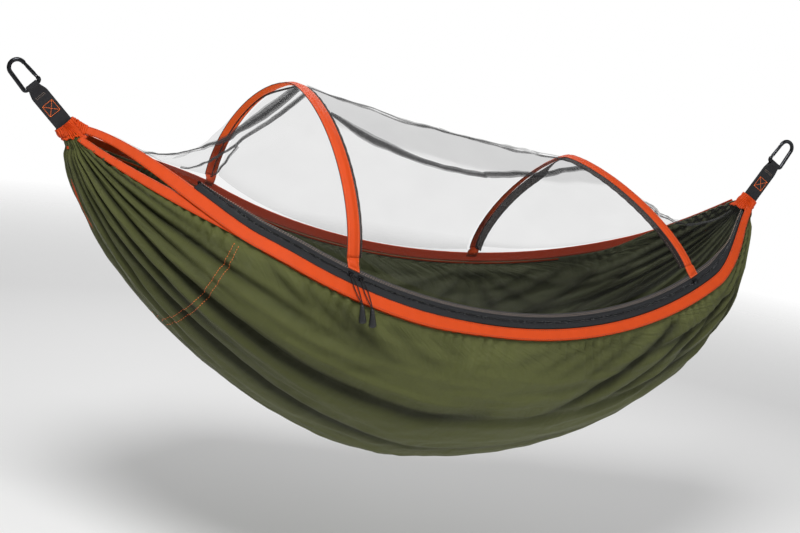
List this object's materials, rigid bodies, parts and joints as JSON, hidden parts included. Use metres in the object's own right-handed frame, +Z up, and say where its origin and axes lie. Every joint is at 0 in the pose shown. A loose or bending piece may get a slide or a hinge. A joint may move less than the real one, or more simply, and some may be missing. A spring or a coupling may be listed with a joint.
{
  "type": "hammock tent",
  "caption": "Gathered-end hammock in cloth with a zipped insect net over arched hoops, webbing end loops and carabiners.",
  "frame": {"origin": "inside the far end of the left carabiner, where the hammock hangs from its anchor", "axes": "+X from the left gather to the right one, +Y from the zipped near side to the far side, +Z up"},
  "size_m": [2.2769, 1.0353, 0.9725],
  "materials": {
    "olive_nylon": "satin ripstop nylon",
    "orange_nylon": "satin nylon, stitched",
    "charcoal_webbing": "woven webbing and cord",
    "net_mesh": "fine knitted mesh",
    "black_tape": "woven zip tape",
    "black_coil": "moulded coil, glossy",
    "black_alloy": "black, glossy",
    "bright_steel": "plain",
    "black_rubber": "moulded, satin"
  },
  "bodies": {
    "hammock": {"body_fabric": "olive_nylon", "near_hem": "orange_nylon", "near_lower_hem": "orange_nylon", "far_hem": "orange_nylon", "far_net_tape": "net_mesh", "zip_lower_tape": "black_tape", "zip_lower_coil": "black_coil", "zip_upper_coil": "black_coil", "zip_upper_tape": "black_tape", "near_net_tape": "net_mesh", "zip_left_stop": "bright_steel", "zip_right_stop": "bright_steel", "left_end_channel": "orange_nylon", "right_end_channel": "orange_nylon", "left_gathering_cord": "charcoal_webbing", "right_gathering_cord": "charcoal_webbing", "left_webbing_loop": "charcoal_webbing", "right_webbing_loop": "charcoal_webbing", "hoop_1_near_pocket": "black_tape", "hoop_1_far_pocket": "black_tape", "hoop_2_near_pocket": "black_tape", "hoop_2_far_pocket": "black_tape", "roof_net": "net_mesh", "left_net": "net_mesh", "right_net": "net_mesh"},
    "left_carabiner": {"left_carabiner_frame": "black_alloy", "left_gate_pin": "bright_steel"},
    "left_gate": {"left_carabiner_gate": "black_alloy", "left_gate_plunger": "bright_steel", "left_gate_spring": "bright_steel"},
    "right_carabiner": {"right_carabiner_frame": "black_alloy", "right_gate_pin": "bright_steel"},
    "right_gate": {"right_carabiner_gate": "black_alloy", "right_gate_plunger": "bright_steel", "right_gate_spring": "bright_steel"},
    "hoop_1": {"hoop_1_rod": "bright_steel", "hoop_1_near_tip": "black_rubber", "hoop_1_far_tip": "black_rubber", "hoop_1_sleeve": "orange_nylon", "hoop_1_net_binding": "net_mesh"},
    "hoop_2": {"hoop_2_rod": "bright_steel", "hoop_2_near_tip": "black_rubber", "hoop_2_far_tip": "black_rubber", "hoop_2_sleeve": "orange_nylon", "hoop_2_net_binding": "net_mesh"},
    "slider_a": {"slider_a": "black_alloy"},
    "slider_b": {"slider_b": "black_alloy"},
    "slider_c": {"slider_c": "black_alloy"},
    "ring_a": {"pull_a_ring": "black_alloy"},
    "pull_a": {"pull_a_cord": "charcoal_webbing", "pull_a_grip": "black_rubber"},
    "ring_b": {"pull_b_ring": "black_alloy"},
    "pull_b": {"pull_b_cord": "charcoal_webbing", "pull_b_grip": "black_rubber"}
  },
  "joints": [
    {"name": "left_carabiner_swing", "type": "hinge", "parent": "hammock", "child": "left_carabiner", "pos_m": [0.05207, 0, -0.05117], "axis": [0.7009, 0, 0.7133], "range_deg": [-60, 60]},
    {"name": "left_gate_open", "type": "hinge", "parent": "left_carabiner", "child": "left_gate", "pos_m": [0.05715, 0, -0.0246], "axis": [0, -1, 0], "range_deg": [0, 25], "stiffness_Nm_per_rad": 0.35, "springref_deg": -20.05},
    {"name": "right_carabiner_swing", "type": "hinge", "parent": "hammock", "child": "right_carabiner", "pos_m": [2.2076, 0, -0.02931], "axis": [-0.8704, 0, 0.4924], "range_deg": [-60, 60]},
    {"name": "right_gate_open", "type": "hinge", "parent": "right_carabiner", "child": "right_gate", "pos_m": [2.19539, 0, -0.00517], "axis": [0, 1, 0], "range_deg": [0, 25], "stiffness_Nm_per_rad": 0.35, "springref_deg": -20.05},
    {"name": "hoop_1_lean", "type": "hinge", "parent": "hammock", "child": "hoop_1", "pos_m": [0.79277, -0.43912, -0.33721], "axis": [-0.1749, 0.984, 0.0328], "range_deg": [-12, 12], "stiffness_Nm_per_rad": 8, "deforming": ["roof_net", "left_net"]},
    {"name": "hoop_2_lean", "type": "hinge", "parent": "hammock", "child": "hoop_2", "pos_m": [1.83507, -0.25582, -0.31746], "axis": [-0.4653, 0.8695, -0.166], "range_deg": [-12, 12], "stiffness_Nm_per_rad": 8, "deforming": ["right_net"]},
    {"name": "slider_a_travel", "type": "hinge", "parent": "hammock", "child": "slider_a", "pos_m": [1.18336, 0.3009, 0.54509], "axis": [0.127, -0.7869, 0.6038], "range_deg": [-5, 0]},
    {"name": "slider_b_travel", "type": "hinge", "parent": "hammock", "child": "slider_b", "pos_m": [1.18336, 0.3009, 0.54509], "axis": [0.127, -0.7869, 0.6038], "range_deg": [0, 48.5]},
    {"name": "slider_c_travel", "type": "hinge", "parent": "hammock", "child": "slider_c", "pos_m": [1.18336, 0.3009, 0.54509], "axis": [0.127, -0.7869, 0.6038], "range_deg": [0, 2]},
    {"name": "ring_a_turn", "type": "hinge", "parent": "slider_a", "child": "ring_a", "pos_m": [0.78473, -0.46677, -0.35814], "axis": [0.127, -0.7869, 0.6038], "range_deg": [0, 5.5]},
    {"name": "pull_a_lift", "type": "hinge", "parent": "ring_a", "child": "pull_a", "pos_m": [0.78502, -0.46739, -0.35901], "axis": [-0.9555, -0.2604, -0.1384], "range_deg": [0, 75]},
    {"name": "ring_b_turn", "type": "hinge", "parent": "slider_b", "child": "ring_b", "pos_m": [0.81148, -0.46944, -0.36724], "axis": [0.127, -0.7869, 0.6038], "range_deg": [-49, 0]},
    {"name": "pull_b_lift", "type": "hinge", "parent": "ring_b", "child": "pull_b", "pos_m": [0.81177, -0.47005, -0.3681], "axis": [-0.9555, -0.2604, -0.1384], "range_deg": [0, 75]}
  ],
  "couplings": [
    {"joint": "ring_a_turn", "follows": "slider_a_travel", "ratio": -1},
    {"joint": "ring_b_turn", "follows": "slider_b_travel", "ratio": -1}
  ]
}
